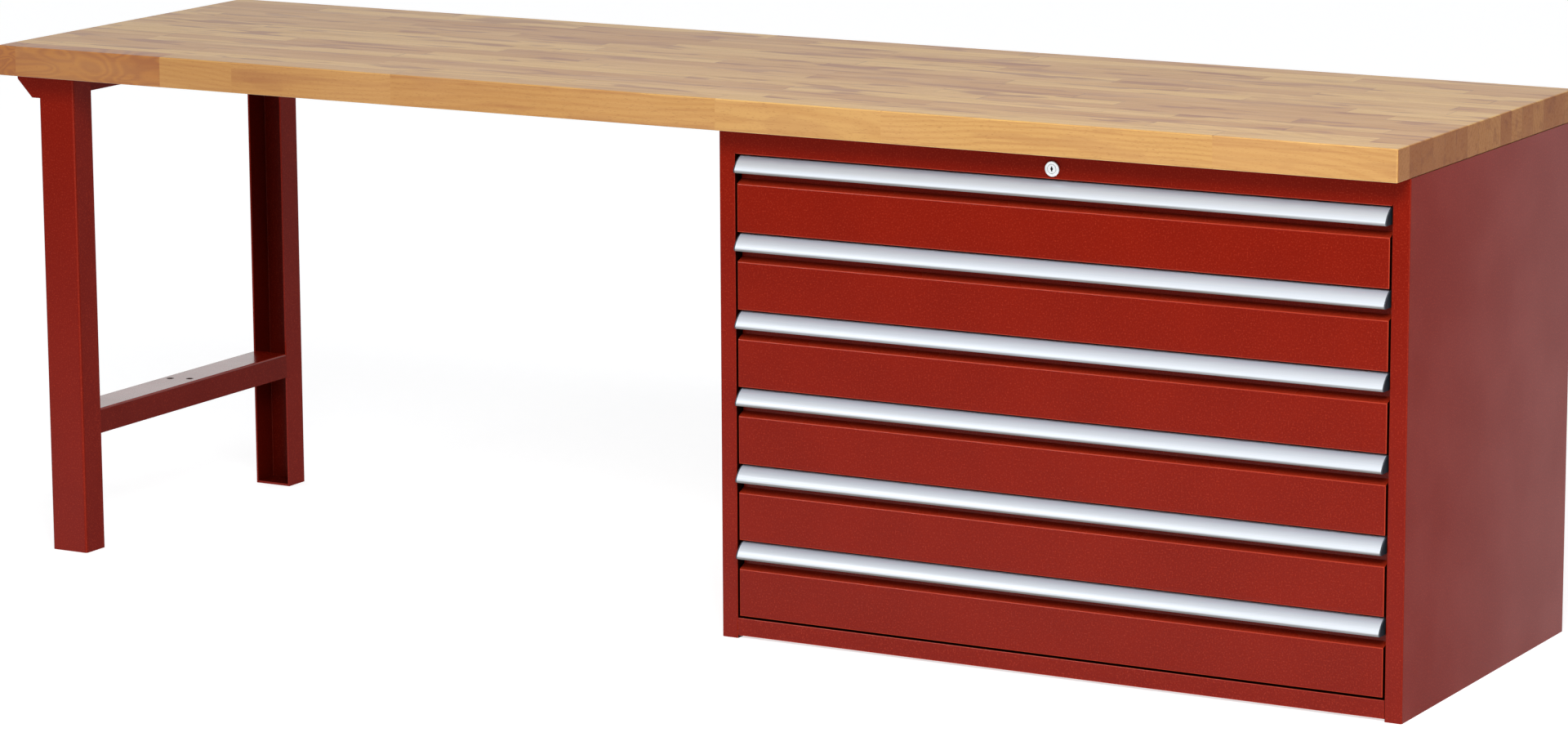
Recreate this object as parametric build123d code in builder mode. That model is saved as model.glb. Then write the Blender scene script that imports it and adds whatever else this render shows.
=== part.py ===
"""Workbench: a laminated beech top on a six-drawer steel cabinet and a steel leg frame.

All sizes are millimetres. +X runs along the bench to its cabinet end, +Y from the front to
the back and +Z up. The origin is on the floor, under the middle of the top.
"""
from math import asin, cos, degrees, radians, sin
import os

from build123d import *

os.makedirs("parts", exist_ok=True)

# ---------------------------------------------------------------- bench
BENCH_LENGTH = 2500
BENCH_DEPTH = 700
BENCH_HEIGHT = 860
TOP_THICKNESS = 50
TOP_EDGE_RADIUS = 3
FRONT_OVERHANG = 50

LEFT_END = -BENCH_LENGTH / 2
RIGHT_END = BENCH_LENGTH / 2
FRAME_FRONT = -BENCH_DEPTH / 2 + FRONT_OVERHANG
FRAME_BACK = BENCH_DEPTH / 2
UNDERSIDE = BENCH_HEIGHT - TOP_THICKNESS

# ---------------------------------------------------------------- cabinet
CABINET_WIDTH = 1150
CABINET_SHEET = 1.5
CABINET_BEND = 1.5
CABINET_BEND_OUTER = CABINET_BEND + CABINET_SHEET / 2
WELD_WIDTH = 1.6
STILE_WIDTH = 28
STILE_RETURN = 25
REAR_FLANGE = 20
BACK_FLANGE = 13
BACK_PANEL_GAP = 2
OPENING_BOTTOM = 33
PLINTH_CLEARANCE = 4
PLINTH_SETBACK = 0.5
RAIL_FLANGE = 38
BOLT_PLATE_SHEET = 1.5
PANEL_SIDE_GAP = 1.5

CABINET_CENTRE = RIGHT_END - CABINET_WIDTH / 2
CABINET_INSIDE_HALF = CABINET_WIDTH / 2 - CABINET_SHEET
OPENING_HALF = CABINET_WIDTH / 2 - STILE_WIDTH
CABINET_MIDDLE = Plane.YZ.offset(CABINET_CENTRE)
BACK_PANEL_FACE = FRAME_BACK - CABINET_SHEET

# ---------------------------------------------------------------- drawers
DRAWER_COUNT = 6
DRAWER_PITCH = 122
DRAWER_GAP = 3
FRONT_HEIGHT = DRAWER_PITCH - DRAWER_GAP
FRONT_HALF = OPENING_HALF - DRAWER_GAP
FRONT_SHEET = 1.5
FRONT_EDGE_RADIUS = 2.5
PANEL_HEIGHT = 75
PANEL_DEPTH = 18
LEDGE_RISE = 8
OPENING_TOP = OPENING_BOTTOM + DRAWER_COUNT * DRAWER_PITCH + DRAWER_GAP

TRAY_HALF = 531
TRAY_SHEET = 1.2
TRAY_BACK = 310
TRAY_LIFT = 6
TRAY_HEIGHT = 99
TRAY_HEM = 2.4
TRAY_HEM_HEIGHT = 9
PANEL_BACK = FRAME_FRONT + PANEL_DEPTH

# ---------------------------------------------------------------- grip strips
GRIP_CREST_SETBACK = 8
GRIP_RADIUS = 40
GRIP_CREST_TILT = 66
GRIP_LIP_TILT = 26
GRIP_LIP_RADIUS = 5
GRIP_LIP_END_TILT = -50
GRIP_WALL = 2.5
GRIP_CAP = 2
GRIP_CAP_GAP = 1
GRIP_LEG_DROP = 16
GRIP_CREST = FRAME_FRONT + GRIP_CREST_SETBACK

# ---------------------------------------------------------------- drawer slides
SLIDE_LENGTH = 580
SLIDE_FRONT = -275
SLIDE_SHEET = 1.5
SLIDE_BEND = 1.5
SLIDE_CENTRE = 56
OUTER_HALF_HEIGHT = 22.5
MIDDLE_HALF_HEIGHT = 17
INNER_HALF_HEIGHT = 12
OUTER_REACH = (532.3, 545)
MIDDLE_REACH = (533.3, 542.5)
INNER_REACH = (TRAY_HALF, 540)
POST_DEPTH = 40
POST_FRONTS = (-258, 262)
POST_SLOT = (12, 26)

# ---------------------------------------------------------------- central lock
LOCK_HEIGHT = 784
LOCK_ROSETTE_RADIUS = 12
LOCK_ROSETTE_THICKNESS = 4
LOCK_ROSETTE_EDGE = 1.5
LOCK_BARREL_RADIUS = 10
LOCK_BARREL_LENGTH = 22
LOCK_NUT_FLATS = 26
LOCK_NUT_THICKNESS = 6
CYLINDER_RADIUS = 7
CYLINDER_TAIL = 2
RUNNING_CLEARANCE = 0.06
LOOSE_CLEARANCE = 0.4
SHAFT_RADIUS = 3.5
CRANK_RADIUS = 10
CRANK_FRONT = 318
CRANK_THICKNESS = 4
CRANK_RIM = 2.5
PIN_RADIUS = 2.5
PIN_END = 1
BAR_FRONT = 326
BAR_THICKNESS = 3
BAR_HALF = 10
BAR_BOTTOM = 60
HOOK_GAP = 2.5
LUG_HALF = 12
LUG_DROP = 9
LUG_BELOW_RIM = 10
LUG_REACH = 13
LUG_SHEET = 1.5
GUIDE_HEIGHT = 12
GUIDE_BELOW_MIDDLE = 20
GUIDE_RIM = 7

# ---------------------------------------------------------------- leg frame
LEG_LEFT = LEFT_END + 45
LEG_RIGHT = LEG_LEFT + 70
LEG_DEPTH = 50
LEG_SHEET = 3
LEG_BEND = 2.5
PLATE_THICKNESS = 3
PLATE_MARGIN = 2
EAR_STRAIGHT = 9
EAR_HEIGHT = 39
EAR_FOOT = 14
EAR_ROOT = 9
CROSSBAR_BOTTOM = 197.5
CROSSBAR_HEIGHT = 42
CROSSBAR_HOLE_RADIUS = 4.5
CROSSBAR_HOLES = ((-1186, 21), (-1155, 35))
HEAD_RAIL_HEIGHT = 28
FOOT_PLATE_THICKNESS = 4
FOOT_PLATE_CORNER = 1.2
FOOT_HOLE_RADIUS = 2.75
FOOT_HOLE_SPACING = (20, 24)

# ---------------------------------------------------------------- wood screws
SCREW_SHANK_RADIUS = 3.5
SCREW_HOLE_RADIUS = 4.2
SCREW_DEPTH = 32
SCREW_HEAD_FLATS = 13
SCREW_HEAD_HEIGHT = 5.5
WASHER_RADIUS = 8.5
WASHER_THICKNESS = 1.5
CABINET_SCREWS = [
    (CABINET_CENTRE + across, along) for across in (-480, -160, 160, 480) for along in (-200, 250)
]
PLATE_SCREWS = [(LEFT_END + 24, -200), (LEFT_END + 24, 25), (LEFT_END + 24, 250)]
RAIL_SCREWS = [(LEG_LEFT + 35, -150), (LEG_LEFT + 35, 200)]


def folded_strip(points, bend, thickness):
    """Cut face of a sheet folded along the middle line through the points."""
    with BuildSketch() as strip:
        with BuildLine():
            FilletPolyline(*points, radius=bend)
        trace(line_width=thickness)
    return strip.sketch_local


def channel_points(near, far, low, high, sheet):
    """Middle line of a channel: its web lies at near, its flanges reach to far."""
    inset = sheet / 2 if far > near else -sheet / 2
    web = near + inset
    return [
        (far, low + sheet / 2),
        (web, low + sheet / 2),
        (web, high - sheet / 2),
        (far, high - sheet / 2),
    ]


def grip_point(top, depth, tilt):
    """Point of the grip's curved wall, depth inside its face, where the face tilts up by tilt."""
    centre_y = GRIP_CREST + GRIP_RADIUS * cos(radians(GRIP_CREST_TILT))
    centre_z = top - GRIP_RADIUS * sin(radians(GRIP_CREST_TILT))
    radius = GRIP_RADIUS - depth
    return (centre_y - radius * cos(radians(tilt)), centre_z + radius * sin(radians(tilt)))


def grip_lip_point(top, depth, tilt):
    """Point of the grip's lip, which rolls on from the wall with a smaller radius."""
    start_y, start_z = grip_point(top, 0, GRIP_LIP_TILT)
    centre_y = start_y + GRIP_LIP_RADIUS * cos(radians(GRIP_LIP_TILT))
    centre_z = start_z - GRIP_LIP_RADIUS * sin(radians(GRIP_LIP_TILT))
    radius = GRIP_LIP_RADIUS - depth
    return (centre_y - radius * cos(radians(tilt)), centre_z + radius * sin(radians(tilt)))


# ================================================================ worktop
with BuildPart() as tabletop:
    with BuildSketch(Plane.XY.offset(UNDERSIDE)):
        Rectangle(BENCH_LENGTH, BENCH_DEPTH)
    extrude(amount=TOP_THICKNESS)
    fillet(tabletop.edges(), radius=TOP_EDGE_RADIUS)
    with BuildSketch(Plane.XY.offset(UNDERSIDE)):
        with Locations(*CABINET_SCREWS, *PLATE_SCREWS, *RAIL_SCREWS):
            Circle(SCREW_SHANK_RADIUS)
    extrude(amount=SCREW_DEPTH, mode=Mode.SUBTRACT)
tabletop.part.label = "tabletop"
export_step(tabletop.part, "parts/tabletop.step")

# ================================================================ cabinet shell
# Each side is one sheet: rear flange, side wall, front stile and the stile's return.
for side, sign in (("left", -1), ("right", 1)):
    wall = CABINET_CENTRE + sign * (CABINET_WIDTH - CABINET_SHEET) / 2
    stile_edge = CABINET_CENTRE + sign * (OPENING_HALF + CABINET_SHEET / 2)
    rear = FRAME_BACK - CABINET_SHEET / 2
    front = FRAME_FRONT + CABINET_SHEET / 2
    with BuildPart() as cabinet_side:
        with BuildSketch():
            add(folded_strip(
                [
                    (wall - sign * REAR_FLANGE, rear),
                    (wall, rear),
                    (wall, front),
                    (stile_edge, front),
                    (stile_edge, FRAME_FRONT + STILE_RETURN),
                ],
                CABINET_BEND,
                CABINET_SHEET,
            ))
        extrude(amount=UNDERSIDE)
    cabinet_side.part.label = f"cabinet_side_{side}"
    export_step(cabinet_side.part, f"parts/cabinet_side_{side}.step")

# The back panel is folded forward along its top and bottom edges.
BACK_PANEL_TOP = UNDERSIDE - BOLT_PLATE_SHEET - BACK_PANEL_GAP
PANEL_HALF = CABINET_INSIDE_HALF - PANEL_SIDE_GAP
with BuildPart() as cabinet_back:
    with BuildSketch(Plane.YZ.offset(CABINET_CENTRE - PANEL_HALF)):
        add(folded_strip(
            channel_points(
                BACK_PANEL_FACE,
                BACK_PANEL_FACE - BACK_FLANGE,
                PLINTH_CLEARANCE,
                BACK_PANEL_TOP,
                CABINET_SHEET,
            ),
            CABINET_BEND,
            CABINET_SHEET,
        ))
    extrude(amount=2 * PANEL_HALF)
cabinet_back.part.label = "cabinet_back"
export_step(cabinet_back.part, "parts/cabinet_back.step")

# The top rail carries the lock in a hole at its middle. Its ends are welded to the stiles and
# ground flush, so the weld fills the groove beside each stile's bend.
with BuildPart() as cabinet_top_rail:
    with BuildSketch(Plane.YZ.offset(CABINET_CENTRE - OPENING_HALF)):
        add(folded_strip(
            channel_points(
                FRAME_FRONT, FRAME_FRONT + RAIL_FLANGE, OPENING_TOP, UNDERSIDE, CABINET_SHEET
            ),
            CABINET_BEND,
            CABINET_SHEET,
        ))
    extrude(amount=2 * OPENING_HALF)
    with BuildSketch(Plane.XY.offset(OPENING_TOP + CABINET_BEND_OUTER)):
        with Locations(
            (CABINET_CENTRE + OPENING_HALF + WELD_WIDTH / 2, FRAME_FRONT + CABINET_SHEET / 2)
        ):
            Rectangle(WELD_WIDTH, CABINET_SHEET)
        with Locations(
            (CABINET_CENTRE + OPENING_HALF + CABINET_BEND_OUTER, FRAME_FRONT + CABINET_BEND_OUTER)
        ):
            Circle(CABINET_BEND_OUTER, mode=Mode.SUBTRACT)
    extrude(amount=UNDERSIDE - OPENING_TOP - 2 * CABINET_BEND_OUTER)
    mirror(about=CABINET_MIDDLE)
    with BuildSketch(Plane.XZ.offset(-FRAME_FRONT)):
        with Locations((CABINET_CENTRE, LOCK_HEIGHT)):
            Circle(LOCK_BARREL_RADIUS + RUNNING_CLEARANCE)
    extrude(amount=-RAIL_FLANGE / 2, mode=Mode.SUBTRACT)
cabinet_top_rail.part.label = "cabinet_top_rail"
export_step(cabinet_top_rail.part, "parts/cabinet_top_rail.step")

PLINTH_FACE = FRAME_FRONT + PLINTH_SETBACK
PLINTH_FLANGE_END = FRAME_FRONT + STILE_RETURN
with BuildPart() as cabinet_plinth_rail:
    with BuildSketch(Plane.YZ.offset(CABINET_CENTRE - OPENING_HALF)):
        add(folded_strip(
            channel_points(
                PLINTH_FACE, PLINTH_FLANGE_END, PLINTH_CLEARANCE, OPENING_BOTTOM, CABINET_SHEET
            ),
            CABINET_BEND,
            CABINET_SHEET,
        ))
    extrude(amount=2 * OPENING_HALF)
cabinet_plinth_rail.part.label = "cabinet_plinth_rail"
export_step(cabinet_plinth_rail.part, "parts/cabinet_plinth_rail.step")

with BuildPart() as cabinet_bottom:
    with BuildSketch(Plane.XY.offset(OPENING_BOTTOM - CABINET_SHEET)):
        with Locations((CABINET_CENTRE, (PLINTH_FLANGE_END + BACK_PANEL_FACE - CABINET_SHEET) / 2)):
            Rectangle(2 * CABINET_INSIDE_HALF, BACK_PANEL_FACE - CABINET_SHEET - PLINTH_FLANGE_END)
    extrude(amount=CABINET_SHEET)
cabinet_bottom.part.label = "cabinet_bottom"
export_step(cabinet_bottom.part, "parts/cabinet_bottom.step")

# The bolt plate closes the cabinet under the worktop and takes the wood screws.
RAIL_FLANGE_END = FRAME_FRONT + RAIL_FLANGE
with BuildPart() as cabinet_bolt_plate:
    with BuildSketch(Plane.XY.offset(UNDERSIDE - BOLT_PLATE_SHEET)):
        with Locations((CABINET_CENTRE, (RAIL_FLANGE_END + BACK_PANEL_FACE) / 2)):
            Rectangle(2 * PANEL_HALF, BACK_PANEL_FACE - RAIL_FLANGE_END)
        with Locations(*CABINET_SCREWS):
            Circle(SCREW_HOLE_RADIUS, mode=Mode.SUBTRACT)
    extrude(amount=BOLT_PLATE_SHEET)
cabinet_bolt_plate.part.label = "cabinet_bolt_plate"
export_step(cabinet_bolt_plate.part, "parts/cabinet_bolt_plate.step")

# ================================================================ fixed slide rails
SLIDE_HEIGHTS = [
    OPENING_BOTTOM + DRAWER_GAP + level * DRAWER_PITCH + SLIDE_CENTRE
    for level in range(DRAWER_COUNT)
]
with BuildPart() as slide_posts:
    for post_front in POST_FRONTS:
        with BuildSketch(Plane.XY.offset(OPENING_BOTTOM)):
            add(folded_strip(
                [
                    (CABINET_CENTRE + CABINET_INSIDE_HALF, post_front),
                    (CABINET_CENTRE + OUTER_REACH[1] + CABINET_SHEET / 2, post_front),
                    (CABINET_CENTRE + OUTER_REACH[1] + CABINET_SHEET / 2, post_front + POST_DEPTH),
                    (CABINET_CENTRE + CABINET_INSIDE_HALF, post_front + POST_DEPTH),
                ],
                CABINET_BEND,
                CABINET_SHEET,
            ))
        extrude(amount=BACK_PANEL_TOP - OPENING_BOTTOM)
    slot_places = [
        (post_front + POST_DEPTH / 2, height)
        for post_front in POST_FRONTS
        for height in SLIDE_HEIGHTS
    ]
    with BuildSketch(Plane.YZ.offset(CABINET_CENTRE + OUTER_REACH[1])):
        with Locations(*slot_places):
            Rectangle(*POST_SLOT)
    extrude(amount=2 * CABINET_SHEET, mode=Mode.SUBTRACT)
    mirror(about=CABINET_MIDDLE)
slide_posts.part.label = "slide_posts"
export_step(slide_posts.part, "parts/slide_posts.step")

with BuildPart() as slide_rails:
    for height in SLIDE_HEIGHTS:
        with BuildSketch(Plane.XZ.offset(-SLIDE_FRONT)):
            add(folded_strip(
                channel_points(
                    CABINET_CENTRE + OUTER_REACH[1],
                    CABINET_CENTRE + OUTER_REACH[0],
                    height - OUTER_HALF_HEIGHT,
                    height + OUTER_HALF_HEIGHT,
                    SLIDE_SHEET,
                ),
                SLIDE_BEND,
                SLIDE_SHEET,
            ))
        extrude(amount=-SLIDE_LENGTH)
    mirror(about=CABINET_MIDDLE)
slide_rails.part.label = "slide_rails"
export_step(slide_rails.part, "parts/slide_rails.step")

# ================================================================ drawers
# Where the grip's inner curve meets the underside of its top flange.
INNER_CREST_TILT = degrees(
    asin(
        (GRIP_RADIUS * sin(radians(GRIP_CREST_TILT)) - GRIP_WALL) / (GRIP_RADIUS - GRIP_WALL)
    )
)
for number in range(1, DRAWER_COUNT + 1):
    bottom = OPENING_BOTTOM + DRAWER_GAP + (DRAWER_COUNT - number) * DRAWER_PITCH
    top = bottom + FRONT_HEIGHT
    slide_height = bottom + SLIDE_CENTRE

    # Front: a folded panel whose sloping ledge runs back to a riser behind the grip.
    with BuildPart() as drawer_front:
        with BuildSketch(Plane.YZ.offset(CABINET_CENTRE - FRONT_HALF)):
            with BuildLine():
                Polyline(
                    (FRAME_FRONT, bottom),
                    (FRAME_FRONT, bottom + PANEL_HEIGHT),
                    (PANEL_BACK, bottom + PANEL_HEIGHT + LEDGE_RISE),
                    (PANEL_BACK, bottom),
                    close=True,
                )
            make_face()
        extrude(amount=2 * FRONT_HALF)
        fillet(drawer_front.faces().sort_by(Axis.Y)[0].edges(), radius=FRONT_EDGE_RADIUS)
        offset(amount=-FRONT_SHEET, openings=drawer_front.faces().sort_by(Axis.Y)[-1])
        riser_low = bottom + PANEL_HEIGHT + LEDGE_RISE - FRONT_SHEET
        riser_high = top - GRIP_WALL
        with BuildSketch(Plane.XZ.offset(-PANEL_BACK)):
            with Locations((CABINET_CENTRE, (riser_low + riser_high) / 2)):
                Rectangle(2 * FRONT_HALF, riser_high - riser_low)
        extrude(amount=FRONT_SHEET)
    drawer_front.part.label = f"drawer_front_{number}"
    export_step(drawer_front.part, f"parts/drawer_front_{number}.step")

    # Grip: an extruded strip that hooks over the riser and slopes down to a rounded lip.
    middle_tilt = (GRIP_CREST_TILT + GRIP_LIP_TILT) / 2
    lip_middle_tilt = (GRIP_LIP_TILT + GRIP_LIP_END_TILT) / 2
    lip_outer = grip_point(top, 0, GRIP_LIP_TILT)
    lip_inner = grip_point(top, GRIP_WALL, GRIP_LIP_TILT)
    lip_end_outer = grip_lip_point(top, 0, GRIP_LIP_END_TILT)
    lip_end_inner = grip_lip_point(top, GRIP_WALL, GRIP_LIP_END_TILT)
    inner_crest = grip_point(top, GRIP_WALL, INNER_CREST_TILT)
    leg_front_face = PANEL_BACK - FRONT_SHEET - GRIP_WALL
    with BuildPart() as drawer_grip:
        with BuildSketch(Plane.YZ.offset(CABINET_CENTRE - FRONT_HALF + GRIP_CAP_GAP + GRIP_CAP)):
            with BuildLine():
                Polyline(
                    inner_crest,
                    (leg_front_face, top - GRIP_WALL),
                    (leg_front_face, top - GRIP_LEG_DROP),
                    (leg_front_face + GRIP_WALL, top - GRIP_LEG_DROP),
                    (leg_front_face + GRIP_WALL, top - GRIP_WALL),
                    (PANEL_BACK, top - GRIP_WALL),
                    (PANEL_BACK, top),
                    (GRIP_CREST, top),
                )
                ThreePointArc((GRIP_CREST, top), grip_point(top, 0, middle_tilt), lip_outer)
                ThreePointArc(lip_outer, grip_lip_point(top, 0, lip_middle_tilt), lip_end_outer)
                Line(lip_end_outer, lip_end_inner)
                ThreePointArc(
                    lip_end_inner, grip_lip_point(top, GRIP_WALL, lip_middle_tilt), lip_inner
                )
                ThreePointArc(lip_inner, grip_point(top, GRIP_WALL, middle_tilt), inner_crest)
            make_face()
        extrude(amount=2 * (FRONT_HALF - GRIP_CAP_GAP - GRIP_CAP))
    drawer_grip.part.label = f"drawer_grip_{number}"
    export_step(drawer_grip.part, f"parts/drawer_grip_{number}.step")

    # End caps close both ends of the grip's hollow.
    with BuildPart() as grip_caps:
        with BuildSketch(Plane.YZ.offset(CABINET_CENTRE + FRONT_HALF - GRIP_CAP_GAP - GRIP_CAP)):
            with BuildLine():
                ThreePointArc((GRIP_CREST, top), grip_point(top, 0, middle_tilt), lip_outer)
                ThreePointArc(lip_outer, grip_lip_point(top, 0, lip_middle_tilt), lip_end_outer)
                Polyline(
                    lip_end_outer,
                    (leg_front_face, lip_end_outer[1]),
                    (leg_front_face + GRIP_WALL, top - GRIP_LEG_DROP),
                    (leg_front_face + GRIP_WALL, top),
                    (GRIP_CREST, top),
                )
            make_face()
        extrude(amount=GRIP_CAP)
        mirror(about=CABINET_MIDDLE)
    grip_caps.part.label = f"grip_caps_{number}"
    export_step(grip_caps.part, f"parts/grip_caps_{number}.step")

    # Tray: a floor with four walls welded on it, their rims hemmed. The back wall has a lug for
    # the locking bar.
    tray_bottom = bottom + TRAY_LIFT
    tray_top = tray_bottom + TRAY_HEIGHT
    tray_middle = (PANEL_BACK + TRAY_BACK) / 2
    tray_depth = TRAY_BACK - PANEL_BACK
    lug_top = tray_top - LUG_BELOW_RIM - LUG_SHEET / 2
    lug_back = TRAY_BACK + LUG_REACH - LUG_SHEET / 2
    with BuildPart() as tray_floor:
        with BuildSketch(Plane.XY.offset(tray_bottom)):
            with Locations((CABINET_CENTRE, tray_middle)):
                Rectangle(2 * TRAY_HALF, tray_depth)
        extrude(amount=TRAY_SHEET)
    with BuildPart() as tray_sides:
        for thickness, height in (
            (TRAY_SHEET, TRAY_HEIGHT - TRAY_SHEET),
            (TRAY_HEM, TRAY_HEM_HEIGHT),
        ):
            with BuildSketch(Plane.XY.offset(tray_top - height)):
                with Locations((CABINET_CENTRE + TRAY_HALF - thickness / 2, tray_middle)):
                    Rectangle(thickness, tray_depth - 2 * TRAY_SHEET)
            extrude(amount=height)
        mirror(about=CABINET_MIDDLE)
    with BuildPart() as tray_ends:
        for thickness, height, half in (
            (TRAY_SHEET, TRAY_HEIGHT - TRAY_SHEET, TRAY_HALF),
            (TRAY_HEM, TRAY_HEM_HEIGHT, TRAY_HALF - TRAY_HEM),
        ):
            with BuildSketch(Plane.XY.offset(tray_top - height)):
                with Locations(
                    (CABINET_CENTRE, PANEL_BACK + thickness / 2),
                    (CABINET_CENTRE, TRAY_BACK - thickness / 2),
                ):
                    Rectangle(2 * half, thickness)
            extrude(amount=height)
        with BuildSketch(Plane.YZ.offset(CABINET_CENTRE - LUG_HALF)):
            add(folded_strip(
                [
                    (TRAY_BACK - TRAY_SHEET / 2, lug_top),
                    (lug_back, lug_top),
                    (lug_back, lug_top - LUG_DROP),
                ],
                LUG_SHEET,
                LUG_SHEET,
            ))
        extrude(amount=2 * LUG_HALF)
    drawer_tray = Compound([*tray_floor.solids(), *tray_sides.solids(), *tray_ends.solids()])
    drawer_tray.label = f"drawer_tray_{number}"
    export_step(drawer_tray, f"parts/drawer_tray_{number}.step")

    # Telescopic slides: the middle member runs in the fixed rail, the inner one in it.
    with BuildPart() as slide_middle:
        with BuildSketch(Plane.XZ.offset(-SLIDE_FRONT)):
            add(folded_strip(
                channel_points(
                    CABINET_CENTRE + MIDDLE_REACH[1],
                    CABINET_CENTRE + MIDDLE_REACH[0],
                    slide_height - MIDDLE_HALF_HEIGHT,
                    slide_height + MIDDLE_HALF_HEIGHT,
                    SLIDE_SHEET,
                ),
                SLIDE_BEND,
                SLIDE_SHEET,
            ))
        extrude(amount=-SLIDE_LENGTH)
        mirror(about=CABINET_MIDDLE)
    slide_middle.part.label = f"slide_middle_{number}"
    export_step(slide_middle.part, f"parts/slide_middle_{number}.step")

    with BuildPart() as slide_inner:
        with BuildSketch(Plane.XZ.offset(-SLIDE_FRONT)):
            add(folded_strip(
                channel_points(
                    CABINET_CENTRE + INNER_REACH[0],
                    CABINET_CENTRE + INNER_REACH[1],
                    slide_height - INNER_HALF_HEIGHT,
                    slide_height + INNER_HALF_HEIGHT,
                    SLIDE_SHEET,
                ),
                SLIDE_BEND,
                SLIDE_SHEET,
            ))
        extrude(amount=-SLIDE_LENGTH)
        mirror(about=CABINET_MIDDLE)
    slide_inner.part.label = f"slide_inner_{number}"
    export_step(slide_inner.part, f"parts/slide_inner_{number}.step")

# ================================================================ central lock
with BuildPart() as lock_housing:
    with BuildSketch(Plane.XZ.offset(-FRAME_FRONT)):
        with Locations((CABINET_CENTRE, LOCK_HEIGHT)):
            Circle(LOCK_ROSETTE_RADIUS)
    extrude(amount=LOCK_ROSETTE_THICKNESS)
    fillet(lock_housing.faces().sort_by(Axis.Y)[0].edges(), radius=LOCK_ROSETTE_EDGE)
    with BuildSketch(Plane.XZ.offset(-FRAME_FRONT)):
        with Locations((CABINET_CENTRE, LOCK_HEIGHT)):
            Circle(LOCK_BARREL_RADIUS)
    extrude(amount=-LOCK_BARREL_LENGTH)
    with BuildSketch(Plane.XZ.offset(-FRAME_FRONT + LOCK_ROSETTE_THICKNESS)):
        with Locations((CABINET_CENTRE, LOCK_HEIGHT)):
            Circle(CYLINDER_RADIUS + RUNNING_CLEARANCE)
    extrude(amount=-LOCK_ROSETTE_THICKNESS - LOCK_BARREL_LENGTH, mode=Mode.SUBTRACT)
lock_housing.part.label = "lock_housing"
export_step(lock_housing.part, "parts/lock_housing.step")

with BuildPart() as lock_nut:
    with BuildSketch(Plane.XZ.offset(-FRAME_FRONT - CABINET_SHEET)):
        with Locations((CABINET_CENTRE, LOCK_HEIGHT)):
            RegularPolygon(LOCK_NUT_FLATS / 2, 6, major_radius=False)
            Circle(LOCK_BARREL_RADIUS, mode=Mode.SUBTRACT)
    extrude(amount=-LOCK_NUT_THICKNESS)
lock_nut.part.label = "lock_nut"
export_step(lock_nut.part, "parts/lock_nut.step")

# The cylinder carries the key slot in front and meets the shaft at its back face.
KEY_SLOT = (1.8, 7.5)
KEY_SLOT_DEPTH = 9
CYLINDER_BACK = FRAME_FRONT + LOCK_BARREL_LENGTH + CYLINDER_TAIL
with BuildPart() as lock_cylinder:
    with BuildSketch(Plane.XZ.offset(-FRAME_FRONT + LOCK_ROSETTE_THICKNESS)):
        with Locations((CABINET_CENTRE, LOCK_HEIGHT)):
            Circle(CYLINDER_RADIUS)
    extrude(amount=FRAME_FRONT - LOCK_ROSETTE_THICKNESS - CYLINDER_BACK)
    with BuildSketch(Plane.XZ.offset(-FRAME_FRONT + LOCK_ROSETTE_THICKNESS)):
        with Locations((CABINET_CENTRE, LOCK_HEIGHT)):
            Rectangle(*KEY_SLOT)
    extrude(amount=-KEY_SLOT_DEPTH, mode=Mode.SUBTRACT)
lock_cylinder.part.label = "lock_cylinder"
export_step(lock_cylinder.part, "parts/lock_cylinder.step")

# The shaft runs over the top drawer to a crank, whose pin lifts the locking bar.
with BuildPart() as lock_shaft:
    with BuildSketch(Plane.XZ.offset(-CYLINDER_BACK)):
        with Locations((CABINET_CENTRE, LOCK_HEIGHT)):
            Circle(SHAFT_RADIUS)
    extrude(amount=CYLINDER_BACK - CRANK_FRONT)
    with BuildSketch(Plane.XZ.offset(-CRANK_FRONT)):
        with Locations((CABINET_CENTRE - CRANK_RADIUS / 2, LOCK_HEIGHT)):
            SlotCenterToCenter(CRANK_RADIUS, 2 * (PIN_RADIUS + CRANK_RIM))
    extrude(amount=-CRANK_THICKNESS)
    with BuildSketch(Plane.XZ.offset(-CRANK_FRONT - CRANK_THICKNESS)):
        with Locations((CABINET_CENTRE - CRANK_RADIUS, LOCK_HEIGHT)):
            Circle(PIN_RADIUS)
    extrude(amount=CRANK_FRONT + CRANK_THICKNESS - BAR_FRONT - BAR_THICKNESS - PIN_END)
lock_shaft.part.label = "lock_shaft"
export_step(lock_shaft.part, "parts/lock_shaft.step")

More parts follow.
